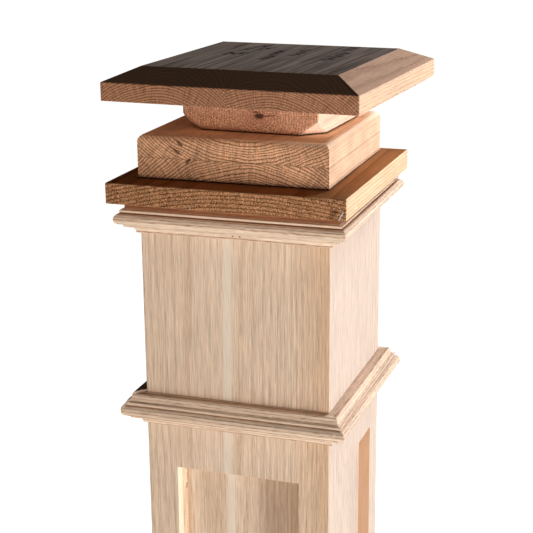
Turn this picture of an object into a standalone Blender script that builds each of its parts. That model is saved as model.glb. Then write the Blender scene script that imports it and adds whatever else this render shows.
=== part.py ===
# A box newel post in unfinished oak: a hollow square box of four mitred boards with a sunk panel in
# each face, two bands of mitred moulding, a plain plinth, and the parts of its cap stacked on top.
# Metres, +Z up. The origin is on the floor, on the post's own axis, and the front faces -Y.
import math

import bmesh
import bpy
from mathutils import Vector

GAP = 0.0003  # left between pieces that touch

# Box
POST_WIDTH = 0.1651  # across two opposite faces
POST_HEIGHT = 1.145  # floor to the top of the boards
BOARD = 0.019  # thickness of each board

# Sunk panel in each face
STILE = 0.027  # whole wood at either side of the panel
TOP_RAIL = 0.0404  # from the lower moulding down to the panel
BOTTOM_RAIL = 0.062  # from the plinth up to the panel
PANEL_DEPTH = 0.0105

# Moulding, the same for both bands
MOULD_HEIGHT = 0.0275
MOULD_NOSE = 0.0175  # how far the round nose stands out from the post
MOULD_LEDGE = 0.0076  # depth of the flat on top
OVOLO_HEIGHT = 0.0039  # small convex round under the ledge
OVOLO_OUT = 0.0022
COVE_HEIGHT = 0.0026  # hollow between the ovolo and the bead
COVE_OUT = 0.0030
BEAD_HEIGHT = 0.0020
BEAD_OUT = 0.0006
QUIRK = 0.0006  # narrow groove between the bead and the nose
NOSE_ROUND = 0.0051  # how far the nose stands out from its own shoulders
FOOT_STEP = 0.0023  # small upright step under the nose
FOOT_HEIGHT = 0.0063  # from the foot of the moulding up to that step
FOOT_LAND = 0.0030  # flat at the very foot, under the lower hollow
FOOT_LIP = 0.0008  # upright edge of that flat
NECK = 0.1436  # plain post between the two bands
LEFT_RAISE = 0.0022  # how much too high the left length of the lower band was fixed

# Plinth
PLINTH_HEIGHT = 0.140
PLINTH_OUT = 0.0318  # thickness of its boards
PLINTH_BEVEL = 0.012  # width and height of the slope on their top edge

# Cap plate, which rests on the box
PLATE_SIDE = 0.2057
PLATE_THICKNESS = 0.0177
PLATE_SHIFT = Vector((-0.0004, -0.0021))  # as it was set down
PLATE_TURN = math.radians(-0.3)
EASED = 0.0008  # softened edges of the flat cap parts

# Cap block, two layers glued face to face, which rests on the plate
BLOCK_SIDE = 0.1653
BLOCK_THICKNESS = 0.0371
BLOCK_ROUND = 0.0072  # rounded top edge
BLOCK_SHIFT = Vector((-0.0018, 0.0021))

# Pad under the bevelled cap, with its four lower corners clipped
PAD_SIDE = 0.1207
PAD_THICKNESS = 0.0280
CLIP_ACROSS = 0.0182  # along X
CLIP_BACK = 0.0209  # along Y
CLIP_UP = 0.0131

# Bevelled cap, which is fixed on its pad and sits a little askew
CAP_SIDE = 0.2204
CAP_EDGE = 0.0153  # upright edge
CAP_BEVEL = 0.0255  # slope, measured across
CAP_RISE = 0.0113  # slope, measured upwards
CAP_SHIFT = Vector((0.0074, 0.0080))
CAP_TURN = math.radians(-2.86)

# Bent brad in the front of the cap plate, by its near corner
BRAD_RADIUS = 0.0006
BRAD_FROM_CORNER = 0.0056
BRAD_UP = 0.0016  # above the plate's underside
BRAD_STAND = 0.0016  # how far it stands off the plate
BRAD_RISE = 0.0068
BRAD_LEAN = 0.0036

# Colours of the bare wood, and the brad
PALE_OAK = (0.62, 0.47, 0.33)
TAN_OAK = (0.50, 0.34, 0.21)
PINK_OAK = (0.55, 0.34, 0.23)
STEEL = (0.70, 0.71, 0.72)

half = POST_WIDTH / 2
MITRE = GAP / math.sqrt(2)  # each end's share of the gap at a mitre
upper_foot = POST_HEIGHT - MOULD_HEIGHT
lower_foot = upper_foot - NECK - MOULD_HEIGHT
panel_top = lower_foot - TOP_RAIL
panel_foot = PLINTH_HEIGHT + BOTTOM_RAIL
SIDES = ("front", "right", "back", "left")


def finish(name, colour, roughness, metallic=0.0):
    made = bpy.data.materials.new(name)
    made.use_nodes = True
    shader = made.node_tree.nodes["Principled BSDF"]
    shader.inputs["Base Color"].default_value = (*colour, 1)
    shader.inputs["Roughness"].default_value = roughness
    shader.inputs["Metallic"].default_value = metallic
    return made


def mesh_from(bm, name, look):
    bmesh.ops.recalc_face_normals(bm, faces=bm.faces)
    mesh = bpy.data.meshes.new(name)
    bm.to_mesh(mesh)
    bm.free()
    mesh.materials.append(look)
    return mesh


def place(name, data, parent, location=(0, 0, 0), turn=0.0):
    piece = bpy.data.objects.new(name, data)
    bpy.context.scene.collection.objects.link(piece)
    piece.parent = parent
    piece.location = location
    piece.rotation_euler.z = turn
    return piece


def ease(piece, width):
    bevel = piece.modifiers.new("eased edges", "BEVEL")
    bevel.width = width
    bevel.segments = 2
    bevel.limit_method = "ANGLE"
    bevel.angle_limit = math.radians(40)


def arc(centre, out, up, start, end, steps=6):
    # Points on an ellipse from start to end, in degrees from the outward direction
    turns = (math.radians(start + (end - start) * i / steps) for i in range(steps + 1))
    return [(centre[0] + out * math.cos(a), centre[1] + up * math.sin(a)) for a in turns]


def moulding_outline():
    # From the top of the back edge, out over the face, and in again along the foot
    bead_in = MOULD_LEDGE + OVOLO_OUT + COVE_OUT
    cove_top = MOULD_HEIGHT - OVOLO_HEIGHT
    bead_top = cove_top - COVE_HEIGHT
    nose_top = bead_top - BEAD_HEIGHT - QUIRK
    nose_foot = FOOT_HEIGHT + FOOT_STEP
    nose_in = MOULD_NOSE - NOSE_ROUND
    nose_half = (nose_top - nose_foot) / 2
    step_in = nose_in - QUIRK * 2
    cove_out = step_in - FOOT_LAND

    outline = [(GAP, MOULD_HEIGHT)]
    outline += arc((MOULD_LEDGE, cove_top), OVOLO_OUT, OVOLO_HEIGHT, 90, 0, 4)
    outline += arc((bead_in, cove_top), COVE_OUT, COVE_HEIGHT, 180, 270, 4)[1:]
    outline += arc((bead_in, bead_top - BEAD_HEIGHT / 2), BEAD_OUT, BEAD_HEIGHT / 2, 90, -90, 4)[1:]
    outline += arc((nose_in, nose_foot + nose_half), NOSE_ROUND, nose_half, 90, -90, 10)
    outline += [(step_in, nose_foot)]
    outline += arc((step_in, FOOT_LIP), cove_out, FOOT_HEIGHT - FOOT_LIP, 90, 180, 4)
    outline += [(FOOT_LAND, 0), (GAP, 0)]
    return outline


def mitred_length(outline):
    # An outline of (out, up) pairs, run along the front of the post and mitred at both ends
    bm = bmesh.new()
    left, right = (
        [bm.verts.new((end * (half + out - MITRE), -half - out, up)) for out, up in outline]
        for end in (-1, 1)
    )
    bm.faces.new(left)
    bm.faces.new(right)
    for i in range(len(outline)):
        bm.faces.new((left[i - 1], left[i], right[i], right[i - 1]))
    bmesh.ops.recalc_face_normals(bm, faces=bm.faces)
    return bm


def box_board():
    bm = mitred_length([(-BOARD, 0), (0, 0), (0, POST_HEIGHT), (-BOARD, POST_HEIGHT)])
    bm.normal_update()
    face = min(bm.faces, key=lambda f: f.normal.y)
    bmesh.ops.inset_region(bm, faces=[face], thickness=STILE, use_even_offset=True)
    for corner in face.verts:
        corner.co.z = panel_top if corner.co.z > POST_HEIGHT / 2 else panel_foot
    sunk = bmesh.ops.extrude_discrete_faces(bm, faces=[face])["faces"][0]
    bmesh.ops.translate(bm, verts=sunk.verts, vec=(0, PANEL_DEPTH, 0))
    return bm


def slab(side, thickness):
    # A square slab that stands on z = 0
    bm = bmesh.new()
    bmesh.ops.create_cube(bm, size=1)
    bmesh.ops.scale(bm, verts=bm.verts, vec=(side, side, thickness))
    bmesh.ops.translate(bm, verts=bm.verts, vec=(0, 0, thickness / 2))
    bm.normal_update()
    return bm


def rounded_block():
    bm = slab(BLOCK_SIDE, BLOCK_THICKNESS)
    rim = [e for e in bm.edges if all(v.co.z > BLOCK_THICKNESS / 2 for v in e.verts)]
    bmesh.ops.bevel(bm, geom=rim, offset=BLOCK_ROUND, segments=6, profile=0.5, affect="EDGES")
    return bm


def clipped_pad():
    bm = bmesh.new()
    edge = PAD_SIDE / 2
    for x in (-1, 1):
        for y in (-1, 1):
            bm.verts.new((x * edge, y * edge, PAD_THICKNESS))
            bm.verts.new((x * edge, y * edge, CLIP_UP))
            bm.verts.new((x * (edge - CLIP_ACROSS), y * edge, 0))
            bm.verts.new((x * edge, y * (edge - CLIP_BACK), 0))
    bmesh.ops.convex_hull(bm, input=bm.verts)
    bmesh.ops.dissolve_limit(bm, angle_limit=math.radians(1), verts=bm.verts, edges=bm.edges)
    return bm


def bevelled_cap():
    bm = slab(CAP_SIDE, CAP_EDGE)
    top = max(bm.faces, key=lambda f: f.normal.z)
    bmesh.ops.inset_region(bm, faces=[top], thickness=CAP_BEVEL, use_even_offset=True)
    bmesh.ops.translate(bm, verts=top.verts, vec=(0, 0, CAP_RISE))
    return bm


def brad_curve(look):
    # Out of the plate's front near its lower edge, then bent up along it; z = 0 is the plate's underside
    side = PLATE_SIDE / 2 - BRAD_FROM_CORNER
    face = -PLATE_SIDE / 2 - GAP
    bend = BRAD_RADIUS * 0.8
    route = [
        (side, face, BRAD_UP),
        (side, face - BRAD_STAND + bend, BRAD_UP),
        (side + BRAD_LEAN * 0.1, face - BRAD_STAND, BRAD_UP + bend),
        (side + BRAD_LEAN, face - BRAD_STAND, BRAD_UP + BRAD_RISE),
    ]
    curve = bpy.data.curves.new("bent_brad", "CURVE")
    curve.dimensions = "3D"
    curve.bevel_depth = BRAD_RADIUS
    curve.bevel_resolution = 1
    curve.use_fill_caps = True
    spline = curve.splines.new("POLY")
    spline.points.add(len(route) - 1)
    for point, at in zip(spline.points, route):
        point.co = (*at, 1)
    curve.materials.append(look)
    return curve


def add_ring(name, mesh, parent, foot=0.0, left_raise=0.0):
    # The same mitred piece on all four sides
    for i, side in enumerate(SIDES):
        level = foot + left_raise if side == "left" else foot
        place(f"{name}_{side}", mesh, parent, (0, 0, level), i * math.pi / 2)


def build():
    for old in list(bpy.data.objects):
        bpy.data.objects.remove(old, do_unlink=True)

    post = bpy.data.objects.new("newel_post", None)
    bpy.context.scene.collection.objects.link(post)

    pale = finish("pale oak", PALE_OAK, 0.6)
    tan = finish("tan oak", TAN_OAK, 0.6)
    pink = finish("pinkish oak", PINK_OAK, 0.6)
    steel = finish("bright steel", STEEL, 0.3, 1.0)

    add_ring("box_board", mesh_from(box_board(), "box_board", pale), post)
    moulding = mesh_from(mitred_length(moulding_outline()), "moulding", tan)
    add_ring("upper_moulding", moulding, post, upper_foot)
    add_ring("lower_moulding", moulding, post, lower_foot, LEFT_RAISE)

    slope = PLINTH_HEIGHT - PLINTH_BEVEL
    plinth = [
        (GAP, 0),
        (PLINTH_OUT, 0),
        (PLINTH_OUT, slope),
        (PLINTH_OUT - PLINTH_BEVEL, PLINTH_HEIGHT),
        (GAP, PLINTH_HEIGHT),
    ]
    add_ring("plinth_board", mesh_from(mitred_length(plinth), "plinth_board", pale), post)

    level = POST_HEIGHT + GAP
    plate_mesh = mesh_from(slab(PLATE_SIDE, PLATE_THICKNESS), "cap_plate", tan)
    plate = place("cap_plate", plate_mesh, post, (*PLATE_SHIFT, level), PLATE_TURN)
    ease(plate, EASED)
    place("bent_brad", brad_curve(steel), post, (*PLATE_SHIFT, level), PLATE_TURN)
    level += PLATE_THICKNESS + GAP
    place("cap_block", mesh_from(rounded_block(), "cap_block", tan), post, (*BLOCK_SHIFT, level))
    level += BLOCK_THICKNESS + GAP
    pad = mesh_from(clipped_pad(), "cap_pad", pink)
    place("cap_pad", pad, post, (*CAP_SHIFT, level), CAP_TURN)
    level += PAD_THICKNESS + GAP
    cap_mesh = mesh_from(bevelled_cap(), "bevelled_cap", tan)
    cap = place("bevelled_cap", cap_mesh, post, (*CAP_SHIFT, level), CAP_TURN)
    ease(cap, EASED)


build()
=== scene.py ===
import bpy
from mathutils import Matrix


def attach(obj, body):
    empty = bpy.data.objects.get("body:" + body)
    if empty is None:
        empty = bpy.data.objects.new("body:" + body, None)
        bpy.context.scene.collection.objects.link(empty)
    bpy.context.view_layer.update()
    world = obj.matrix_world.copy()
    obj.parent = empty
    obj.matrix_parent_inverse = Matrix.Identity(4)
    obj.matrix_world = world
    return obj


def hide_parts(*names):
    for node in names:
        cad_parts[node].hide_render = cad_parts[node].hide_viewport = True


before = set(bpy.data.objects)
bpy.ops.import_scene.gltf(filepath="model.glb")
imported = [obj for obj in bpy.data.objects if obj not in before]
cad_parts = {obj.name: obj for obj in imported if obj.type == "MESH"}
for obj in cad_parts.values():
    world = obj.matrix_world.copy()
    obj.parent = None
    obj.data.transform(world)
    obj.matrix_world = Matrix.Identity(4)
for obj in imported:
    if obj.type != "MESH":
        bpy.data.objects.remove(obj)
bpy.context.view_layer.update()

import math
from functools import partial

import bmesh
import bpy
from mathutils import Matrix, Vector
from mathutils.kdtree import KDTree

print("frame loaded:", len(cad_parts), "nodes")

# The box, in metres, as the solids have it
box = {"half": 0.08255, "height": 1.145, "board": 0.019}
sides = ("front", "right", "back", "left")

# How every piece is worked: lengths in metres, angles in degrees
work = {
    "merge": 0.000002,  # corners closer than this become one
    "near": 0.0001,  # as good as touching, where edges and faces are picked by their place
    "tiny": 0.00001,  # a shorter step of an outline is left out
    "spare": 0.01,  # how much too long a length is made before its mitres are cut
    "facing": 0.9,  # how squarely a face has to look along an axis to be picked for it
    "sharp": 30,
    "smooth": 35,
}


def freshBlock(name, low, high):
    # A block between two corners, ready to be shaped in edit mode
    bpy.ops.object.select_all(action="DESELECT")
    low, high = Vector(low), Vector(high)
    bpy.ops.mesh.primitive_cube_add(size=1, location=(low + high) / 2, scale=high - low)
    bpy.ops.object.transform_apply(location=True, rotation=True, scale=True)
    piece = bpy.context.object
    piece.name = piece.data.name = name
    bpy.ops.object.mode_set(mode="EDIT")
    return piece


def pick(kind, test):
    # Selects the faces, edges or corners that pass the test
    bpy.ops.mesh.select_mode(type=kind)
    bpy.ops.mesh.select_all(action="DESELECT")
    mesh = bpy.context.object.data
    shape = bmesh.from_edit_mesh(mesh)
    shape.normal_update()
    for part in {"FACE": shape.faces, "EDGE": shape.edges, "VERT": shape.verts}[kind]:
        if test(part):
            part.select_set(True)
    shape.select_flush_mode()
    bmesh.update_edit_mesh(mesh)


def middle(part):
    return sum((corner.co for corner in part.verts), Vector()) / len(part.verts)


def cutAway(at, normal):
    # Saws off what lies beyond a plane and closes the cut
    bpy.ops.mesh.select_all(action="SELECT")
    bpy.ops.mesh.bisect(plane_co=at, plane_no=Vector(normal).normalized(), clear_outer=True, use_fill=True)


def easeEdges(width, segments, test):
    pick("EDGE", test)
    bpy.ops.mesh.bevel(offset=width, segments=segments, profile=0.5, affect="EDGES")


def isSharp(edge):
    return len(edge.link_faces) == 2 and edge.calc_face_angle() > math.radians(work["sharp"])


def leaveEdit(piece, smoothAngle=work["smooth"]):
    # Closes the seams, turns the faces outwards and smooths what bends by less than the angle
    bpy.ops.mesh.select_all(action="SELECT")
    bpy.ops.mesh.remove_doubles(threshold=work["merge"])
    bpy.ops.mesh.normals_make_consistent(inside=False)
    bpy.ops.object.mode_set(mode="OBJECT")
    bpy.ops.object.shade_smooth_by_angle(angle=math.radians(smoothAngle))
    # the wide faces keep their own direction, so that only the narrow rounds between them shade softly
    bpy.ops.object.modifier_add(type="WEIGHTED_NORMAL")
    piece.modifiers[-1].keep_sharp = True
    bpy.ops.object.modifier_apply(modifier=piece.modifiers[-1].name)
    return piece


def settle(piece, place=(0, 0, 0), turn=0.0):
    # Turns a finished piece about Z, moves it, and leaves its object at the origin
    bpy.ops.object.select_all(action="DESELECT")
    piece.select_set(True)
    bpy.context.view_layer.objects.active = piece
    piece.rotation_euler.z = turn
    piece.location = place
    bpy.ops.object.transform_apply(location=True, rotation=True, scale=True)
    return piece


def copyRound(piece, names):
    # The same piece on the other three sides of the post, each copy with its own mesh
    made = [piece]
    for step, name in enumerate(names, start=1):
        bpy.ops.object.select_all(action="DESELECT")
        piece.select_set(True)
        bpy.context.view_layer.objects.active = piece
        bpy.ops.object.duplicate(linked=False)
        copy = bpy.context.object
        copy.name = copy.data.name = name
        made.append(settle(copy, turn=step * math.pi / 2))
    return made


def dress(piece, look, slotName, *nodes):
    # Gives a piece its material and lets it stand for its solid
    piece.data.materials.clear()
    piece.data.materials.append(look)
    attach(piece, "root")
    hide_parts(*nodes)


def toLinear(hexColour):
    parts = [int(hexColour[i:i + 2], 16) / 255 for i in (1, 3, 5)]
    return [c / 12.92 if c <= 0.04045 else ((c + 0.055) / 1.055) ** 2.4 for c in parts] + [1]


def addNode(tree, kind, *inputs, **settings):
    # One node with its settings; each input is a value, a node or a socket, in order or in a dictionary
    node = tree.nodes.new("ShaderNode" + kind)
    for key, value in settings.items():
        setattr(node, key, value)
    byKey = inputs[0] if inputs and isinstance(inputs[0], dict) else dict(enumerate(inputs))
    for key, value in byKey.items():
        value = value.outputs[0] if isinstance(value, bpy.types.Node) else value
        if isinstance(value, bpy.types.NodeSocket):
            tree.links.new(value, node.inputs[key])
        else:
            node.inputs[key].default_value = value
    return node


# What every oak here starts from: sizes in millimetres, shades as shares
everyOak = {
    "place": (0, 0, 0), "turn": 0.0,  # where the piece lies, so that its pattern lies with it
    "ring": 3.0, "ringStart": 0.05, "ringBand": 0.5,  # a year's growth, and the part of it that is dark
    "uneven": 0.9, "unevenYears": 0.31,  # how far wide and narrow years differ, and how fast they change
    "wave": 4.0, "waveLength": 50.0,  # how far the rings wander, and over what length
    "jitter": 0.3, "jitterLength": 4.0,  # the same for their small kinks
    "straight": 0.12,  # how much of the wandering is left along the grain
    "pore": 0.9, "poreRun": 18.0,  # real pores are 0.3 across: drawn coarser, or they would not show
    "poreEdge": (0.2, 0.5), "strayPores": 0.2,
    "ray": 1.6, "rayAt": 80.0,  # the rays' spacing, at this distance from the heart; real ones are closer
    "rayDepth": 16.67, "rayHeight": 18.18,
    "fibre": 1.0, "fibreRun": 25.0,  # real fibres are far finer: drawn as the bundles that the eye sees
    "streak": 4.5, "streakRun": 120.0,
    "cloud": 60.0,
    "speckle": 1.1,  # the open ends of fibres, drawn coarser, or they would not show
    "broken": 0.0, "brokenEdge": (0.38, 0.62),  # how much the speckles break up the rings
    "ringEnd": 0.9, "ringSide": 0.35, "poreShade": 0.6, "poreSide": 0.4,
    "fibreShade": 0.7, "streakShade": 0.4, "topStreak": 0.0, "cloudShade": 0.25,
    "rayShade": 0.5, "speckleShade": 0.9, "darkest": 0.15,
    # how far a surface turns before it counts as end grain, as a slope across the grain, or as a top
    "endFacing": (0.45, 0.85), "slopeFacing": (0.25, 0.38), "topFacing": (0.96, 0.99),
    "endTint": "#ffffff", "slopeTint": "#ffffff", "topTint": "#ffffff",
    "seam": (0.2, 0.7), "seamColour": "#5d3f2a",
    "roughness": 0.85, "mirror": 0.0,  # open fibres mirror nothing, not even at a flat angle
    "bump": 0.4, "reliefDepth": 0.3, "fibreRelief": 0.35,
    "spots": (), "ink": None,
}

# A patch of another colour lies at a place in metres, with half sizes in millimetres
everySpot = {"turn": (0, 0, 0), "strength": 0.8, "soft": 0.35, "rag": 0.5, "ragSize": 2.0, "blend": "MIX"}


def oak(name, wood):
    # Bare planed oak. The eye gets matt wood: on end grain dark rings crossed by pale rays and dotted
    # with open pores, and elsewhere short dark dashes and soft streaks along the grain.
    look = bpy.data.materials.new(name)
    look.use_nodes = True
    tree = look.node_tree
    shader = tree.nodes["Principled BSDF"]
    add = partial(addNode, tree)
    wood = {**everyOak, **wood}
    own = add("Mapping", add("TexCoord").outputs["Object"], wood["place"], (0, 0, wood["turn"]),
              vector_type="TEXTURE")

    # Staves or layers glued together, each with its own heart, and a thin glue line
    heart, seams = wood["staves"][0]["heart"], []
    for stave in wood["staves"][1:]:
        across = add("SeparateXYZ", own).outputs[wood["staveAxis"]]
        past = add("Math", across, stave["from"], operation="GREATER_THAN")
        heart = add("Mix", {0: past, 4: heart, 5: stave["heart"]}, data_type="VECTOR").outputs[1]
        offLine = add("Math", across, stave["from"], operation="SUBTRACT")
        offLine = add("Math", offLine, operation="ABSOLUTE")
        seams.append(add("MapRange", offLine, *[s / 1000 for s in wood["seam"]], stave["line"], 0.0))

    # The grain's own frame: its third axis runs along the fibres, and its rings go round the heart
    turns = {"X": (0, math.pi / 2, 0), "Y": (-math.pi / 2, 0, 0), "Z": (0, 0, 0)}
    fromHeart = add("VectorMath", own, heart, operation="SUBTRACT")
    grain = add("Mapping", fromHeart, (0, 0, 0), turns[wood["grain"]], vector_type="TEXTURE")
    slow = add("VectorMath", grain, (1, 1, wood["straight"]), operation="MULTIPLY")
    for size, length in ((wood["wave"], wood["waveLength"]), (wood["jitter"], wood["jitterLength"])):
        sway = add("TexNoise", {"Vector": slow, "Scale": 1000 / length, "Detail": 2.0}).outputs["Color"]
        back = add("VectorMath", grain, [size / 1000] * 3, operation="SUBTRACT")
        grain = add("VectorMath", sway, [2 * size / 1000] * 3, back, operation="MULTIPLY_ADD")
    level = add("VectorMath", grain, (1, 1, 0), operation="MULTIPLY")
    radius = add("VectorMath", level, operation="LENGTH").outputs["Value"]

    # Rings: wide and narrow years, each dark at its start and fading
    years = add("Math", radius, 1000 / wood["ring"], operation="MULTIPLY")
    uneven = add("TexNoise", {"W": years, "Scale": wood["unevenYears"], "Detail": 1.0}, noise_dimensions="1D")
    year = add("Math", uneven, wood["uneven"], years, operation="MULTIPLY_ADD")
    year = add("Math", year, operation="FRACT")
    early = add("MapRange", year, wood["ringStart"], wood["ringBand"], 1.0, 0.0,
                interpolation_type="SMOOTHSTEP")

    # Pores: long tubes crowded at the start of each year
    tube = [1000 / wood[size] for size in ("pore", "pore", "poreRun")]
    dots = add("TexVoronoi", {"Vector": add("VectorMath", grain, tube, operation="MULTIPLY"), "Scale": 1.0})
    dots = add("MapRange", dots, *wood["poreEdge"], 1.0, 0.0, interpolation_type="SMOOTHSTEP")
    crowd = add("Math", early, 1 - wood["strayPores"], wood["strayPores"], operation="MULTIPLY_ADD")
    pores = add("Math", dots, crowd, operation="MULTIPLY")

    # Rays: thin sheets that run out from the heart
    side = add("SeparateXYZ", grain)
    angle = add("Math", side.outputs[1], side.outputs[0], operation="ARCTAN2")
    sheet = add("CombineXYZ", add("Math", angle, wood["rayAt"] / wood["ray"], operation="MULTIPLY"),
                add("Math", radius, 1000 / wood["rayDepth"], operation="MULTIPLY"),
                add("Math", side.outputs[2], 1000 / wood["rayHeight"], operation="MULTIPLY"))
    rays = add("TexNoise", {"Vector": sheet, "Scale": 1.0, "Detail": 1.0})

    # Fibres, streaks, clouds of tone and speckles
    run = add("VectorMath", grain, (1, 1, wood["fibre"] / wood["fibreRun"]), operation="MULTIPLY")
    fibres = add("TexNoise", {"Vector": run, "Scale": 1000 / wood["fibre"], "Detail": 2.0, "Roughness": 0.6})
    run = add("VectorMath", grain, (1, 1, wood["streak"] / wood["streakRun"]), operation="MULTIPLY")
    streaks = add("TexNoise", {"Vector": run, "Scale": 1000 / wood["streak"], "Detail": 2.0})
    clouds = add("TexNoise", {"Vector": own, "Scale": 1000 / wood["cloud"], "Detail": 2.0})
    speckles = add("TexNoise", {"Vector": own, "Scale": 1000 / wood["speckle"], "Detail": 1.0})

    # Which way the surface faces: end grain, a slope across it, or the top
    along = Vector([float(letter == wood["grain"]) for letter in "XYZ"])
    axis = Matrix.Rotation(wood["turn"], 3, "Z") @ along
    facing = add("NewGeometry").outputs["Normal"]
    upward = add("SeparateXYZ", facing).outputs["Z"]
    endwise = add("VectorMath", facing, axis, operation="DOT_PRODUCT").outputs["Value"]
    endwise = add("Math", endwise, operation="ABSOLUTE")
    end, slope, top = (
        add("MapRange", turned, *wood[limits], 0.0, 1.0, interpolation_type="SMOOTHSTEP")
        for turned, limits in ((endwise, "endFacing"), (endwise, "slopeFacing"), (upward, "topFacing"))
    )

    # The colour: rings, then light and dark from every pattern, then pores, tints and glue lines
    broken = add("MapRange", speckles, *wood["brokenEdge"], 1.0 - wood["broken"], 1.0)
    ringShade = add("MapRange", end, 0.0, 1.0, wood["ringSide"], wood["ringEnd"])
    ringShade = add("Math", ringShade, early, operation="MULTIPLY")
    ringShade = add("Math", ringShade, broken, operation="MULTIPLY")
    colour = add("Mix", {0: ringShade, 6: toLinear(wood["pale"]), 7: toLinear(wood["dark"])},
                 data_type="RGBA").outputs[2]
    light = 1.0
    for pattern, where, shade in (
        (fibres, 1.0, "fibreShade"), (streaks, 1.0, "streakShade"), (clouds, 1.0, "cloudShade"),
        (rays, end, "rayShade"), (speckles, end, "speckleShade"), (streaks, top, "topStreak"),
    ):
        part = add("Math", pattern, 0.5, operation="SUBTRACT")
        part = add("Math", part, where, operation="MULTIPLY")
        light = add("Math", part, wood[shade], light, operation="MULTIPLY_ADD")
    light = add("Math", light, wood["darkest"], operation="MAXIMUM")
    colour = add("VectorMath", {0: colour, 3: light}, operation="SCALE").outputs["Vector"]
    poreShade = add("MapRange", end, 0.0, 1.0, wood["poreShade"] * wood["poreSide"], wood["poreShade"])
    poreShade = add("Math", pores, poreShade, operation="MULTIPLY")
    colour = add("Mix", {0: poreShade, 6: colour, 7: toLinear(wood["poreColour"])},
                 data_type="RGBA").outputs[2]
    slopeOnly = add("Math", slope, end, operation="SUBTRACT")
    for mask, tint in ((end, "endTint"), (slopeOnly, "slopeTint"), (top, "topTint")):
        if wood[tint] != everyOak[tint]:
            colour = add("Mix", {0: mask, 6: colour, 7: toLinear(wood[tint])}, data_type="RGBA",
                         blend_type="MULTIPLY").outputs[2]
    for seam in seams:
        colour = add("Mix", {0: seam, 6: colour, 7: toLinear(wood["seamColour"])},
                     data_type="RGBA").outputs[2]

    # Patches of another colour: a knot, a chip, a nail hole, a stripe of paler wood
    for patch in wood["spots"]:
        spot = {**everySpot, **patch}
        rag, soft = spot["rag"], spot["soft"]
        near = add("Mapping", own, spot["at"], spot["turn"], [s / 1000 for s in spot["size"]],
                   vector_type="TEXTURE")
        ragged = add("TexNoise", {"Vector": own, "Scale": 1000 / spot["ragSize"], "Detail": 2.0})
        near = add("VectorMath", near, [rag] * 3, operation="SUBTRACT")
        near = add("VectorMath", ragged.outputs["Color"], [2 * rag] * 3, near, operation="MULTIPLY_ADD")
        far = add("VectorMath", near, operation="LENGTH").outputs["Value"]
        mask = add("MapRange", far, 1 - soft, 1 + soft, spot["strength"], 0.0,
                   interpolation_type="SMOOTHSTEP")
        colour = add("Mix", {0: mask, 6: colour, 7: toLinear(spot["colour"])}, data_type="RGBA",
                     blend_type=spot["blend"]).outputs[2]
    if wood["ink"]:
        # Faded pen strokes, painted on the top's corners and rubbed thin in places
        ink = wood["ink"]
        rubbed = add("TexNoise", {"Vector": own, "Scale": 1000 / ink["rub"], "Detail": 2.0})
        rubbed = add("MapRange", rubbed, *ink["rubEdge"], ink["thinnest"], 1.0)
        painted = add("Attribute", attribute_name="ink").outputs["Fac"]
        strokes = add("Math", painted, rubbed, operation="MULTIPLY")
        colour = add("Mix", {0: strokes, 6: colour, 7: toLinear(ink["colour"])}, data_type="RGBA").outputs[2]

    shader.inputs["Roughness"].default_value = wood["roughness"]
    shader.inputs["Specular IOR Level"].default_value = wood["mirror"]
    tree.links.new(colour, shader.inputs["Base Color"])
    holes = add("Math", pores, -1.0, operation="MULTIPLY")
    relief = add("Math", fibres, wood["fibreRelief"], holes, operation="MULTIPLY_ADD")
    bump = add("Bump", {"Strength": wood["bump"], "Distance": wood["reliefDepth"] / 1000, "Height": relief})
    tree.links.new(bump.outputs[0], shader.inputs["Normal"])
    return look


board = {
    "stile": 0.027,
    "panelTop": 0.906,
    "panelFoot": 0.202,
    "panelDepth": 0.0105,
    "arris": 0.0005,  # the sharp corners taken off by hand
    "eased": 0.00035, "easedSteps": 2,
    # Planed oak, grain upright: pale, with many short dark dashes where the pores are cut along. The
    # dashes are a third as wide in the real wood.
    "wood": {
        "pale": "#e6cbb2", "dark": "#d2b091", "poreColour": "#a0724e", "grain": "Z",
        "ring": 1.9, "ringSide": 0.5, "wave": 5.0, "waveLength": 90.0, "jitter": 0.15,
        "pore": 0.85, "poreRun": 14.0, "poreShade": 0.32, "poreSide": 1.0, "strayPores": 0.5,
        "fibre": 0.95, "fibreRun": 30.0, "fibreShade": 0.9,
        "streak": 2.2, "streakRun": 160.0, "streakShade": 0.05,
        "cloudShade": 0.12, "rayShade": 0.1,
        "staves": [{"heart": (-0.02, 0.09, 0)}],
        "spots": [
            # the paler stripe down the front board, and a browner edge at its right
            {"at": (-0.0078, -0.078, 0.98), "size": (3.6, 30, 900), "turn": (0, 0.014, 0),
             "colour": "#f4e6d6", "strength": 0.5, "rag": 0.1},
            {"at": (0.088, -0.083, 0.9), "size": (26, 20, 900),
             "colour": "#eed9c4", "strength": 0.6, "soft": 0.8, "rag": 0.1, "blend": "MULTIPLY"},
            # painted shade with a warm glow of bounced light: an orange-brown strip down the sunk panel
            # beside its left wall; and the torn left edge, pale and dark at its upper corner
            {"at": (-0.0497, -0.0722, 0.56), "size": (1.9, 1.5, 343),
             "colour": "#b98a60", "strength": 0.65, "soft": 0.5, "rag": 0.3},
            {"at": (-0.0530, -0.0722, 0.887), "size": (1.1, 2, 4.0), "turn": (0, 0.2, 0),
             "colour": "#f0d9c0", "strength": 0.9, "soft": 0.3, "rag": 0.8},
            {"at": (-0.0517, -0.0722, 0.8845), "size": (0.9, 2, 3.5), "turn": (0, 0.2, 0),
             "colour": "#8a5f3e", "strength": 0.5, "soft": 0.3, "rag": 0.8},
        ],
    },
    # The right board is painted darker, as painted shade against the strong light on it; the far wall of its
    # sunk panel is browner still
    "rightPaintedShadeWood": {
        "pale": "#c5ac9c", "dark": "#b89c89", "poreColour": "#94755d",
        "spots": [
            {"at": (0.0773, 0.0556, 0.554), "size": (12, 0.5, 600),
             "colour": "#cfa27c", "strength": 0.75, "soft": 0.02, "rag": 0.0},
        ],
    },
}


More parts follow.
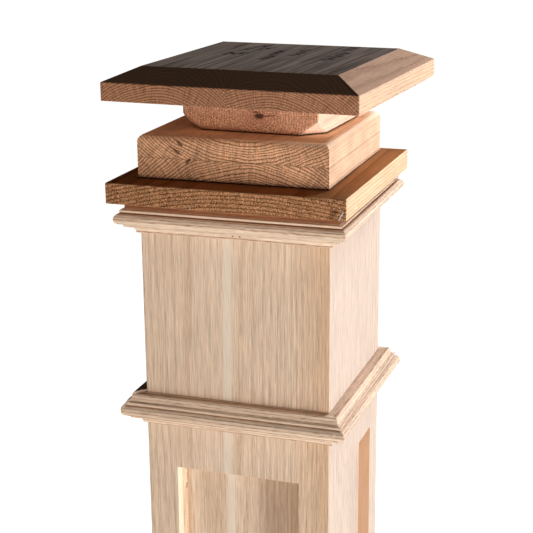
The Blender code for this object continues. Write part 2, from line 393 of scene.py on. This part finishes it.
def makeBoard():
    # The front board: its face inset and sunk for the panel, then mitred at both sides
    half, height, stile = box["half"], box["height"], board["stile"]
    piece = freshBlock("boxBoardFront", (-half, -half, 0), (half, -half + box["board"], height))

    def inPanel(corner):
        return abs(corner.co.x) < half - stile / 2

    pick("FACE", lambda f: f.normal.y < -work["facing"])
    bpy.ops.mesh.inset(thickness=stile, use_even_offset=True)
    for level, above in ((board["panelTop"], True), (board["panelFoot"], False)):
        edge = height - stile if above else stile
        pick("VERT", lambda v: inPanel(v) and (v.co.z > height / 2) == above)
        bpy.ops.transform.translate(value=(0, 0, level - edge))
    pick("FACE", lambda f: f.normal.y < -work["facing"] and all(inPanel(v) for v in f.verts))
    bpy.ops.mesh.extrude_region_move(TRANSFORM_OT_translate={"value": (0, board["panelDepth"], 0)})
    easeEdges(board["eased"], board["easedSteps"],
              lambda e: isSharp(e) and all(inPanel(v) and v.co.y < -half + work["near"] for v in e.verts))
    for side in (-1, 1):
        cutAway((side * half, -half, 0), (side, 1, 0))
        cutAway((side * (half - board["arris"]), -half, 0), (side, -1, 0))
    return leaveEdit(piece)


boards = copyRound(makeBoard(), ("boxBoardRight", "boxBoardBack", "boxBoardLeft"))
boxOak = oak("planed oak board, grain upright", board["wood"])
rightBoxOakPaintedShade = oak("planed oak board, painted darker as shade", {**board["wood"], **board["rightPaintedShadeWood"]})
for piece, side in zip(boards, sides):
    dress(piece, rightBoxOakPaintedShade if side == "right" else boxOak, "box_oak", f"box_board_{side}")
print("boards made")

moulding = {
    "height": 0.0275,
    "nose": 0.0175,
    "ledge": 0.0076,
    "ovoloHeight": 0.0039,
    "ovoloOut": 0.0022,
    "coveHeight": 0.0026,
    "coveOut": 0.0030,
    "beadHeight": 0.0020,
    "beadOut": 0.0006,
    "quirk": 0.0006,
    "noseRound": 0.0051,
    "footStep": 0.0023,
    "footHeight": 0.0063,
    "footLand": 0.0030,
    "footLip": 0.0008,
    "upperFoot": 1.1175,
    "lowerFoot": 0.9464,
    "leftRaise": 0.0022,
    "steps": 8, "noseSteps": 20,
    "smooth": 28,  # between two flats of a curve, and below every bend that has to stay crisp
    # Moulded oak, cut along the grain by a cutter: fine red-brown lines run the whole length. The
    # lines are two or three times as wide as the real ones.
    "wood": {
        "pale": "#ead0b8", "dark": "#b98560", "poreColour": "#80522f",
        "ring": 2.6, "ringSide": 0.7, "wave": 3.0,
        "poreRun": 9.0, "poreSide": 1.0, "strayPores": 0.35,
        "fibre": 0.75, "fibreRun": 20.0, "fibreShade": 0.9,
        "streak": 3.0, "streakShade": 0.6, "rayShade": 0.2,
        "staves": [{"heart": (0.03, 0.02, 1.30)}],
    },
    # The front and back lengths have a painted highlight along each of their two beads, a pale line
    "paintedBeadHighlights": [
        {"at": (0, 0, 1.1375), "size": (400, 400, 0.9),
         "colour": "#f6e0c8", "strength": 0.6, "soft": 0.3, "rag": 0.02},
        {"at": (0, 0, 0.9664), "size": (400, 400, 0.9),
         "colour": "#f6e0c8", "strength": 0.45, "soft": 0.3, "rag": 0.02},
    ],
    "paintedShadeAndMarks": [
        # painted shade: the dark quirk under the upper bead, and the darker strip under the plate, in its
        # shadow
        {"at": (0, 0, 1.1360), "size": (400, 400, 0.5),
         "colour": "#8a5a38", "strength": 0.75, "soft": 0.3, "rag": 0.02},
        {"at": (0, 0, 1.1452), "size": (400, 400, 6.4),
         "colour": "#a0714f", "strength": 0.9, "soft": 0.12, "rag": 0.02, "blend": "MULTIPLY"},
        # two nail holes in the upper foot
        {"at": (0.0007, -0.0865, 1.1211), "size": (0.7, 3, 0.8),
         "colour": "#3a2418", "strength": 0.9, "rag": 0.1},
        {"at": (0.0069, -0.0865, 1.1208), "size": (0.7, 3, 0.8),
         "colour": "#3a2418", "strength": 0.9, "rag": 0.1},
        # pale chips on the lower band
        {"at": (0.034, -0.0945, 0.969), "size": (2.4, 3, 0.8), "colour": "#efdcc8"},
        {"at": (0.062, -0.0945, 0.968), "size": (2.0, 3, 0.8), "colour": "#efdcc8"},
        {"at": (0.0917, -0.0985, 0.9617), "size": (1.2, 3, 1.4), "colour": "#efdcc8"},
    ],
    # Painted shade: the side lengths are darker, the right one against its strong light, the left one, in
    # shade, darkest
    "rightPaintedShadeWood": {"pale": "#d2b49e", "dark": "#b68f74"},
    "leftPaintedShadeWood": {"pale": "#a08a7a", "dark": "#866e5e"},
}


def roundOff(centre, out, up, start, end, steps):
    turns = (math.radians(start + (end - start) * i / steps) for i in range(steps + 1))
    return [(centre[0] + out * math.cos(a), centre[1] + up * math.sin(a)) for a in turns]


def mouldingOutline():
    # From the top of the back edge, out over the face, and in again along the foot
    m = moulding
    beadIn = m["ledge"] + m["ovoloOut"] + m["coveOut"]
    beadHalf = m["beadHeight"] / 2
    coveTop = m["height"] - m["ovoloHeight"]
    beadTop = coveTop - m["coveHeight"]
    noseTop = beadTop - m["beadHeight"] - m["quirk"]
    noseFoot = m["footHeight"] + m["footStep"]
    noseIn = m["nose"] - m["noseRound"]
    noseHalf = (noseTop - noseFoot) / 2
    stepIn = noseIn - m["quirk"] * 2
    outline = [(0.0, m["height"])]
    outline += roundOff((m["ledge"], coveTop), m["ovoloOut"], m["ovoloHeight"], 90, 0, m["steps"])
    outline += roundOff((beadIn, coveTop), m["coveOut"], m["coveHeight"], 180, 270, m["steps"])[1:]
    outline += roundOff((beadIn, beadTop - beadHalf), m["beadOut"], beadHalf, 90, -90, m["steps"])[1:]
    outline += roundOff((noseIn, noseFoot + noseHalf), m["noseRound"], noseHalf, 90, -90, m["noseSteps"])
    outline += [(stepIn, noseFoot)]
    outline += roundOff((stepIn, m["footLip"]), stepIn - m["footLand"], m["footHeight"] - m["footLip"],
                        90, 180, m["steps"])
    outline += [(m["footLand"], 0), (0.0, 0), (0.0, m["height"])]
    return outline


def runLength(name, outline, foot):
    # A length worked along X: an edge pulled round the outline, then mitred at both ends
    half = box["half"]
    reach = half + max(out for out, up in outline) + work["spare"]
    bpy.ops.object.select_all(action="DESELECT")
    bpy.ops.mesh.primitive_plane_add(size=1, location=(0, 0, 0))
    piece = bpy.context.object
    piece.name = piece.data.name = name
    bpy.ops.object.mode_set(mode="EDIT")
    pick("VERT", lambda v: v.co.y < 0)
    bpy.ops.mesh.delete(type="VERT")
    bpy.ops.mesh.select_mode(type="EDGE")
    bpy.ops.mesh.select_all(action="SELECT")
    bpy.ops.transform.resize(value=(2 * reach, 1, 1), center_override=(0, 0, 0))
    out, up = outline[0]
    # what is left of the plane is its far edge, half of the plane's size from the middle
    bpy.ops.transform.translate(value=(0, -0.5 - half - out, foot + up))
    for nextOut, nextUp in outline[1:]:
        step = (0, out - nextOut, nextUp - up)
        if abs(step[1]) + abs(step[2]) > work["tiny"]:
            bpy.ops.mesh.extrude_region_move(TRANSFORM_OT_translate={"value": step})
            out, up = nextOut, nextUp
    bpy.ops.mesh.select_all(action="SELECT")
    bpy.ops.mesh.remove_doubles(threshold=work["merge"])
    bpy.ops.mesh.normals_make_consistent(inside=False)
    for side in (-1, 1):
        cutAway((side * half, -half, 0), (side, 1, 0))
    return leaveEdit(piece, moulding["smooth"])


outline = mouldingOutline()
upperFront = runLength("upperMouldingFront", outline, moulding["upperFoot"])
upperMouldings = copyRound(upperFront, ("upperMouldingRight", "upperMouldingBack", "upperMouldingLeft"))
lowerFront = runLength("lowerMouldingFront", outline, moulding["lowerFoot"])
lowerMouldings = copyRound(lowerFront, ("lowerMouldingRight", "lowerMouldingBack", "lowerMouldingLeft"))
settle(lowerMouldings[sides.index("left")], place=(0, 0, moulding["leftRaise"]))

alongX = {**moulding["wood"], "grain": "X", "spots": moulding["paintedBeadHighlights"] + moulding["paintedShadeAndMarks"]}
alongY = {**moulding["wood"], "grain": "Y", "spots": moulding["paintedShadeAndMarks"]}
mouldOakX = oak("moulded oak, grain along X", alongX)
mouldOakYPaintedShade = oak("moulded oak, grain along Y, painted darker as shade", {**alongY, **moulding["rightPaintedShadeWood"]})
mouldOakLeftPaintedShade = oak("moulded oak, painted darker as shade on the left", {**alongY, **moulding["leftPaintedShadeWood"]})
for band, lengths in (("upper", upperMouldings), ("lower", lowerMouldings)):
    for piece, side in zip(lengths, sides):
        look = {"right": mouldOakYPaintedShade, "left": mouldOakLeftPaintedShade}.get(side, mouldOakX)
        dress(piece, look, "moulding_oak", f"{band}_moulding_{side}")
print("mouldings made")

plinth = {"height": 0.140, "out": 0.0318, "bevel": 0.012}
plinthOutline = [
    (0.0, plinth["height"]),
    (plinth["out"] - plinth["bevel"], plinth["height"]),
    (plinth["out"], plinth["height"] - plinth["bevel"]),
    (plinth["out"], 0.0),
    (0.0, 0.0),
    (0.0, plinth["height"]),
]
plinthFront = runLength("plinthBoardFront", plinthOutline, 0.0)
plinthBoards = copyRound(plinthFront, ("plinthBoardRight", "plinthBoardBack", "plinthBoardLeft"))
for piece, side in zip(plinthBoards, sides):
    dress(piece, mouldOakX if side in ("front", "back") else mouldOakYPaintedShade, "box_oak", f"plinth_board_{side}")
print("plinth made")

plate = {
    "side": 0.2057, "foot": 1.1453, "thickness": 0.0177, "eased": 0.0008, "easedSteps": 3,
    "lie": {"place": (-0.0004, -0.0021, 0), "turn": math.radians(-0.3)},
    # Sawn oak, browned: the end grain in front is rough, in flat dark bands broken into dots. Saw marks
    # and pores are 0.3 to 0.5 across in the real wood.
    "wood": {
        "pale": "#dcb28f", "dark": "#704b2c", "poreColour": "#2e190c", "grain": "Y",
        "ring": 3.2, "uneven": 0.35, "wave": 1.5, "waveLength": 45.0, "jitter": 0.5, "broken": 0.5,
        "pore": 1.25, "poreRun": 22.0, "poreShade": 1.0, "poreSide": 0.15, "strayPores": 0.45,
        "ringSide": 0.4, "speckle": 0.8, "speckleShade": 3.2,
        "fibre": 0.6, "fibreRun": 40.0, "fibreShade": 0.5,
        "endTint": "#d2bca9", "slopeTint": "#b99a86", "topTint": "#c0a68c",
        "staves": [{"heart": (0.02, 0, 0.75)}],
        "spots": [
            # a grey nick and a small hole in the front edge, and a pale chip on the right one
            {"at": (-0.0279, -0.103, 1.1467), "size": (0.5, 3, 2.0), "colour": "#b9aca4", "rag": 0.1},
            {"at": (0.0829, -0.103, 1.1606), "size": (0.7, 3, 0.7),
             "colour": "#33211a", "strength": 0.9, "rag": 0.1},
            {"at": (0.1024, -0.0748, 1.1501), "size": (2, 0.6, 1.6),
             "colour": "#f7ece2", "strength": 0.9, "rag": 0.1},
        ],
    },
}
reach = plate["side"] / 2
plateTop = plate["foot"] + plate["thickness"]
capPlate = freshBlock("capPlate", (-reach, -reach, plate["foot"]), (reach, reach, plateTop))
easeEdges(plate["eased"], plate["easedSteps"], isSharp)
settle(leaveEdit(capPlate), **plate["lie"])
plateOak = oak("sawn oak plate, end grain in front", {**plate["wood"], **plate["lie"]})
dress(capPlate, plateOak, "plate_oak", "cap_plate")
print("cap plate made")

block = {
    "side": 0.1653, "foot": 1.1633, "thickness": 0.0371, "round": 0.0072, "roundSteps": 10,
    "eased": 0.0005, "easedSteps": 2,
    "lie": {"place": (-0.0018, 0.0021, 0)},
    # Planed oak in two glued layers: in front, strong dark rings that bow down in the upper layer and up
    # in the lower one, crossed by pale rays. Rays are 0.3 apart and pores 0.3 across in the real wood.
    "wood": {
        "pale": "#efc7aa", "dark": "#5c3722", "poreColour": "#3c1f11", "grain": "Y",
        "ring": 2.3, "ringBand": 0.55, "broken": 0.6, "ringEnd": 1.0, "ringSide": 0.2,
        "waveLength": 38.0, "jitter": 0.6, "cloud": 25.0, "cloudShade": 0.6,
        "pore": 1.0, "poreShade": 0.8, "poreSide": 0.15, "ray": 1.0, "rayShade": 1.1,
        "speckle": 0.75, "speckleShade": 2.2, "streakShade": 0.2,
        "fibre": 0.6, "fibreRun": 40.0, "fibreShade": 0.5,
        "endTint": "#eedac6", "slopeTint": "#e4cdba",
        "staveAxis": 2,
        "staves": [
            {"heart": (0.0135, 0, 1.070)},
            {"from": 1.1812, "heart": (0.0113, 0, 1.300), "line": 0.35},
        ],
        "spots": [
            # painted shade on the right face, a little duller against the strong light on it, and painted
            # light on the top at the right, where the light from the right grazes it
            {"at": (0.0837, 0, 1.1800), "size": (2.2, 400, 40),
             "colour": "#ece2db", "strength": 1.0, "soft": 0.25, "rag": 0.0, "blend": "MULTIPLY"},
            {"at": (0.066, 0, 1.2010), "size": (30, 120, 3.5),
             "colour": "#ffe9cd", "strength": 0.5, "soft": 0.7, "rag": 0.1},
            # darker broken streaks at the left, where the grain turned round a branch
            {"at": (-0.0445, -0.083, 1.1940), "size": (1.0, 4, 4.0), "turn": (0, -0.95, 0),
             "colour": "#4a281c", "rag": 0.8},
            {"at": (-0.0500, -0.083, 1.1895), "size": (1.0, 4, 5.0), "turn": (0, -1.0, 0),
             "colour": "#4a281c", "strength": 0.75, "rag": 0.8},
            {"at": (-0.0465, -0.083, 1.1868), "size": (0.9, 4, 4.0), "turn": (0, -1.0, 0),
             "colour": "#4a281c", "strength": 0.7, "rag": 0.8},
            {"at": (-0.0375, -0.083, 1.1800), "size": (1.3, 4, 3.0), "turn": (0, 0.8, 0),
             "colour": "#4a281c", "rag": 0.8},
            # painted shadow: the dark line at the foot, where the block stands on the plate
            {"at": (0, 0, 1.1632), "size": (400, 400, 1.1),
             "colour": "#2a1509", "strength": 0.85, "soft": 0.5, "rag": 0.1},
        ],
    },
}
reach = block["side"] / 2
blockTop = block["foot"] + block["thickness"]
capBlock = freshBlock("capBlock", (-reach, -reach, block["foot"]), (reach, reach, blockTop))
easeEdges(block["round"], block["roundSteps"],
          lambda e: all(v.co.z > blockTop - work["near"] for v in e.verts))
easeEdges(block["eased"], block["easedSteps"],
          lambda e: isSharp(e) and all(v.co.z < blockTop - block["round"] + work["near"] for v in e.verts))
settle(leaveEdit(capBlock), **block["lie"])
blockOak = oak("glued oak block, end grain in front", {**block["wood"], **block["lie"]})
dress(capBlock, blockOak, "block_oak", "cap_block")
print("cap block made")

# The pad and the cap on it lie together, off the post's axis and turned
topLie = {"place": (0.0074, 0.0080, 0), "turn": math.radians(-2.86)}

pad = {
    "side": 0.1207, "foot": 1.2007, "thickness": 0.0280,
    "across": 0.0182, "back": 0.0209, "up": 0.0131,  # how far each clipped corner reaches
    "round": 0.0016, "roundSteps": 4, "easedFoot": 0.0009, "easedFootSteps": 3, "footZone": 0.002,
    "easedTop": 0.0004, "easedTopSteps": 2,
    # Planed oak, pinkish: the end grain in front is a fine speckle with faint rings round the knot. The
    # speckles are the open ends of fibres, far finer in the real wood.
    "wood": {
        "pale": "#efc6ab", "dark": "#aa745a", "poreColour": "#5c2f20", "grain": "Y",
        "ring": 2.4, "ringEnd": 0.45, "ringSide": 0.15,
        "pore": 0.95, "poreShade": 0.8, "poreSide": 0.1, "strayPores": 0.55,
        "speckle": 0.7, "speckleShade": 3.0, "endTint": "#e0ccbd",
        "staves": [{"heart": (0.0085, 0, 1.215)}],
        "spots": [
            # the knot with its reddish round, the mark above it and its tail
            {"at": (0.0085, -0.0603, 1.2153), "size": (15, 6, 6),
             "colour": "#9c5f49", "strength": 0.4, "soft": 0.8},
            {"at": (0.0085, -0.0603, 1.2150), "size": (4.2, 6, 2.3), "colour": "#3a231d", "strength": 0.9},
            {"at": (0.0057, -0.0603, 1.2182), "size": (2.6, 6, 0.7), "colour": "#3d2420", "strength": 0.85},
            {"at": (0.0175, -0.0603, 1.2157), "size": (7.0, 6, 0.6), "turn": (0, -0.12, 0),
             "colour": "#5d3028", "strength": 0.75, "rag": 0.8},
            # painted shadow: the dark line where the pad stands on the block
            {"at": (0, 0, 1.2007), "size": (400, 400, 0.9),
             "colour": "#1d0f08", "strength": 0.9, "soft": 0.4, "rag": 0.05},
        ],
    },
}
reach = pad["side"] / 2
padFoot, padTop = pad["foot"], pad["foot"] + pad["thickness"]
capPad = freshBlock("capPad", (-reach, -reach, padFoot), (reach, reach, padTop))
for x in (-1, 1):
    for y in (-1, 1):
        high = Vector((x * reach, y * reach, padFoot + pad["up"]))
        across = Vector((x * (reach - pad["across"]), y * reach, padFoot))
        back = Vector((x * reach, y * (reach - pad["back"]), padFoot))
        normal = (across - high).cross(back - high)
        cutAway(high, normal if normal.z < 0 else -normal)
easeEdges(pad["easedFoot"], pad["easedFootSteps"],
          lambda e: all(v.co.z < padFoot + work["near"] for v in e.verts))
easeEdges(pad["round"], pad["roundSteps"],
          lambda e: isSharp(e) and min(v.co.z for v in e.verts) < padFoot + pad["up"] + work["near"]
          and max(v.co.z for v in e.verts) > padFoot + pad["footZone"])
easeEdges(pad["easedTop"], pad["easedTopSteps"],
          lambda e: isSharp(e) and all(v.co.z > padTop - work["near"] for v in e.verts))
settle(leaveEdit(capPad), **topLie)
padOak = oak("pinkish oak pad with a knot", {**pad["wood"], **topLie})
dress(capPad, padOak, "pad_oak", "cap_pad")
print("cap pad made")

cap = {
    "side": 0.2204, "foot": 1.2290, "edge": 0.0153, "bevel": 0.0255, "rise": 0.0113,
    "eased": 0.0008, "easedSteps": 3, "easedBend": 50,
    "easedTop": 0.0004, "easedTopSteps": 2, "topBend": 20,
    "flat": 0.99, "smooth": 5,  # its faces are all flat, and the hips between the bevels stay crisp
    "inkGrid": 190,
    # Planed oak in two staves, browned and greyer on top, with end grain in front
    "wood": {
        "pale": "#d2a98c", "dark": "#6e452c", "poreColour": "#4a2716", "grain": "Y",
        "ring": 2.1, "ringBand": 0.55, "uneven": 0.7, "broken": 0.6, "ringEnd": 1.0, "ringSide": 0.3,
        "wave": 3.0, "jitter": 0.4, "pore": 1.0, "poreShade": 0.7, "poreSide": 0.2,
        "ray": 1.0, "rayShade": 1.1, "speckle": 0.75, "speckleShade": 2.0,
        "streak": 3.5, "streakShade": 0.12, "topStreak": 2.0,
        "fibre": 0.6, "fibreRun": 40.0, "fibreShade": 0.6,
        # the front and back bevels are tinted darker: painted shade
        "endTint": "#dfcabd", "slopeTint": "#8c8886", "topTint": "#9aa7ba",
        "staveAxis": 0,
        "staves": [
            {"heart": (-0.058, 0, 1.168)},
            {"from": 0.0007, "heart": (0.0345, 0, 1.155), "line": 0.2},
        ],
        "spots": [
            # painted shade: the right bevel, a little duller than the planed faces round it, against the
            # strong light on it
            {"at": (0.09745, 0, 1.24995), "size": (15.0, 400, 1.5), "turn": (0, 0.417, 0),
             "colour": "#e5e1e6", "strength": 1.0, "soft": 0.05, "rag": 0.0, "blend": "MULTIPLY"},
        ],
        "ink": {"colour": "#0a0d16", "rub": 2.857, "rubEdge": (0.35, 0.6), "thinnest": 0.8},
    },
}
reach = cap["side"] / 2
capEdge = cap["foot"] + cap["edge"]
capTop = capEdge + cap["rise"]
bevelledCap = freshBlock("bevelledCap", (-reach, -reach, cap["foot"]), (reach, reach, capEdge))
pick("FACE", lambda f: f.normal.z > work["facing"])
bpy.ops.mesh.inset(thickness=cap["bevel"], use_even_offset=True)
bpy.ops.transform.translate(value=(0, 0, cap["rise"]))
easeEdges(cap["eased"], cap["easedSteps"], lambda e: e.calc_face_angle() > math.radians(cap["easedBend"]))
easeEdges(cap["easedTop"], cap["easedTopSteps"],
          lambda e: e.calc_face_angle() > math.radians(cap["topBend"])
          and all(v.co.z > capTop - work["near"] for v in e.verts))
pick("FACE", lambda f: f.normal.z > cap["flat"] and middle(f).z > capTop - work["near"])
bpy.ops.mesh.subdivide(number_cuts=cap["inkGrid"])
leaveEdit(bevelledCap, cap["smooth"])

# Rows of wavy pen strokes, no letters: from, to, wave height and waves, on the cap's own top
pen = {
    "width": 0.0020, "step": 0.0001, "solid": 1.6,
    "vary": 0.3, "varyTurns": 17, "lean": 0.12,  # how uneven the waves are, and how far they lean
    "rows": (
        ((-0.0465, 0.0000), (-0.0440, 0.0170), 0.0032, 1.6),
        ((-0.0395, 0.0030), (-0.0340, 0.0190), 0.0030, 1.8),
        ((-0.0430, 0.0280), (-0.0425, 0.0490), 0.0032, 2.1),
        ((-0.0400, 0.0530), (-0.0310, 0.0680), 0.0034, 1.7),
        ((-0.0300, 0.0400), (-0.0230, 0.0560), 0.0026, 1.8),
        ((-0.0040, -0.0190), (-0.0030, 0.0060), 0.0036, 2.6),
        ((-0.0070, 0.0120), (-0.0080, 0.0380), 0.0034, 2.5),
        ((0.0125, 0.0100), (0.0110, 0.0520), 0.0044, 4.0),
        ((0.0480, -0.0100), (0.0490, 0.0450), 0.0046, 5.5),
        ((0.0475, 0.0520), (0.0455, 0.0860), 0.0042, 3.2),
    ),
}
inkPoints = []
for start, finish, high, waves in pen["rows"]:
    run = Vector(finish) - Vector(start)
    steps = int(run.length / pen["step"])
    for i in range(steps + 1):
        share = i / steps
        uneven = 1 - pen["vary"] + pen["vary"] * math.sin(share * pen["varyTurns"])
        swing = uneven * math.sin(share * waves * math.tau)
        lean = pen["lean"] * math.cos(share * waves * 2 * math.tau)
        at = Vector(start) + run * share + high * (swing * run.orthogonal() + lean * run) / run.length
        inkPoints.append((at.x, at.y, 0))
inkPath = KDTree(len(inkPoints))
for i, point in enumerate(inkPoints):
    inkPath.insert(point, i)
inkPath.balance()
ink = bevelledCap.data.attributes.new("ink", "FLOAT", "POINT")
for corner in bevelledCap.data.vertices:
    if corner.co.z > capTop - work["near"]:
        nearest = inkPath.find((corner.co.x, corner.co.y, 0))[2]
        ink.data[corner.index].value = max(0.0, min(1.0, pen["solid"] * (1 - nearest / pen["width"])))
settle(bevelledCap, **topLie)
capOak = oak("oak cap of two staves, pen strokes on top", {**cap["wood"], **topLie})
dress(bevelledCap, capOak, "cap_oak", "bevelled_cap")
print("bevelled cap made")

# Drawn steel wire: a small bright metal, mottled where it was drawn and bent. The mottles are much
# coarser than real drawing marks, which would not show.
brad = {
    "bright": "#f4f4f2", "dull": "#8d8f91", "smooth": 0.42, "rough": 0.5,
    "marksPerMm": 1.8, "spread": (0.3, 0.7),
}
steel = bpy.data.materials.new("drawn steel wire")
steel.use_nodes = True
wire = steel.node_tree.nodes["Principled BSDF"]
wire.inputs["Metallic"].default_value = 1.0
add = partial(addNode, steel.node_tree)
own = add("TexCoord").outputs["Object"]
drawn = add("TexNoise", {"Vector": own, "Scale": 1000 * brad["marksPerMm"], "Detail": 2.0})
shade = add("Mix", {0: drawn, 6: toLinear(brad["dull"]), 7: toLinear(brad["bright"])}, data_type="RGBA")
gloss = add("MapRange", drawn, *brad["spread"], brad["smooth"], brad["rough"])
steel.node_tree.links.new(shade.outputs[2], wire.inputs["Base Color"])
steel.node_tree.links.new(gloss.outputs[0], wire.inputs["Roughness"])
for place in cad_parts["bent_brad"].material_slots:
    place.material = steel
print("brad made")

# The camera, as fitted to the photo: place in metres, turns in radians, focal length in pixels
camera = {
    "at": (0.37297, -1.09708, 1.40973),
    "yaw": 0.32742, "pitch": -0.28439, "roll": -0.00879,
    "focal": 1363.18, "width": 533, "sensor": 36.0, "clipEnd": 200,
}

studio = {
    "floorSize": 80.0, "floorDrop": 0.0005, "floor": "#d8d4d0", "floorRoughness": 0.9,
    # the floor glows in a wedge behind the post and stays dim in front of it and beside it
    "behind": (0.5, 1.2), "wedgeTip": 1.16, "wedge": 0.235, "wedgeSoft": 0.08,
    "dimGlow": 0.10, "glow": 1.03, "glowColour": "#fffdfb",
    "sky": "#fff2e4", "overhead": 0.02, "horizon": 0.30, "horizonTop": 0.16,
    "aim": (0, 0, 1.1),
    # a narrow tall panel grazes the front from the right, a second one stands high behind the right
    # side, and a wide, low, warm one fills the front
    "panels": {
        "grazing panel": {"at": (2.37, -0.71, 0.92), "size": (0.26, 0.6), "power": 84, "colour": "#ecf8ff"},
        "right back panel": {"at": (0.62, 1.70, 2.09), "size": (0.8, 0.5), "power": 52, "colour": "#f3fbff"},
        "front fill": {"at": (0.5, -3.5, 0.75), "size": (2.2, 0.5), "power": 38, "colour": "#ffeedd"},
    },
}
bpy.ops.object.select_all(action="DESELECT")
bpy.ops.mesh.primitive_plane_add(size=studio["floorSize"], location=(0, 0, -studio["floorDrop"]))
floor = bpy.context.object
floor.name = "floor"

# Matt studio paper with a painted glow, strongest in a wedge behind the post: the eye gets an even pale
# ground without a horizon
paper = bpy.data.materials.new("pale studio floor")
paper.use_nodes = True
add = partial(addNode, paper.node_tree)
matt = paper.node_tree.nodes["Principled BSDF"]
matt.inputs["Base Color"].default_value = toLinear(studio["floor"])
matt.inputs["Roughness"].default_value = studio["floorRoughness"]
matt.inputs["Specular IOR Level"].default_value = 0.0
matt.inputs["Emission Color"].default_value = toLinear(studio["glowColour"])
turned = add("Mapping", add("TexCoord").outputs["Object"], (0, 0, 0), (0, 0, camera["yaw"]),
             vector_type="TEXTURE")
along = add("SeparateXYZ", turned)
behind = add("MapRange", along.outputs["Y"], *studio["behind"], 0.0, 1.0, interpolation_type="SMOOTHSTEP")
deep = add("Math", along.outputs["Y"], studio["wedgeTip"], operation="ADD")
wide = add("Math", along.outputs["X"], deep, operation="DIVIDE")
wide = add("Math", wide, operation="ABSOLUTE")
inside = add("MapRange", wide, studio["wedge"], studio["wedge"] + studio["wedgeSoft"], 1.0, 0.0,
             interpolation_type="SMOOTHSTEP")
share = add("Math", behind, inside, operation="MULTIPLY")
spread = add("MapRange", share, 0.0, 1.0, studio["dimGlow"], studio["glow"])
paper.node_tree.links.new(spread.outputs[0], matt.inputs["Emission Strength"])
floor.data.materials.append(paper)

# The sky glows low down and is nearly dark overhead
world = bpy.data.worlds.new("studio")
bpy.context.scene.world = world
world.use_nodes = True
add = partial(addNode, world.node_tree)
sky = world.node_tree.nodes["Background"]
sky.inputs["Color"].default_value = toLinear(studio["sky"])
rise = add("SeparateXYZ", add("TexCoord").outputs["Generated"]).outputs["Z"]
glow = add("MapRange", rise, 0.0, studio["horizonTop"], studio["horizon"], studio["overhead"],
           interpolation_type="SMOOTHSTEP")
world.node_tree.links.new(glow.outputs[0], sky.inputs["Strength"])

for name, panel in studio["panels"].items():
    lamp = bpy.data.lights.new(name, "AREA")
    lamp.shape = "RECTANGLE"
    lamp.size, lamp.size_y = panel["size"]
    lamp.energy, lamp.color = panel["power"], toLinear(panel["colour"])[:3]
    holder = bpy.data.objects.new(name, lamp)
    bpy.context.scene.collection.objects.link(holder)
    holder.location = panel["at"]
    holder.rotation_euler = (Vector(studio["aim"]) - holder.location).to_track_quat("-Z", "Y").to_euler()
    holder.visible_camera = False

yaw, pitch, roll = camera["yaw"], camera["pitch"], camera["roll"]
forward = Vector((-math.sin(yaw), math.cos(yaw), 0))
rightward = Vector((math.cos(yaw), math.sin(yaw), 0))
upright = Vector((0, 0, 1))
ahead = forward * math.cos(pitch) + upright * math.sin(pitch)
above = upright * math.cos(pitch) - forward * math.sin(pitch)
sideways = rightward * math.cos(roll) + above * math.sin(roll)
above = above * math.cos(roll) - rightward * math.sin(roll)
lens = bpy.data.cameras.new("camera")
lens.sensor_width = camera["sensor"]
lens.lens = camera["focal"] / camera["width"] * camera["sensor"]
lens.clip_end = camera["clipEnd"]
eye = bpy.data.objects.new("camera", lens)
bpy.context.scene.collection.objects.link(eye)
eye.matrix_world = Matrix.Translation(camera["at"]) @ Matrix((sideways, above, -ahead)).transposed().to_4x4()
bpy.context.scene.camera = eye
bpy.context.scene.view_settings.view_transform = "Standard"
print("stage set")
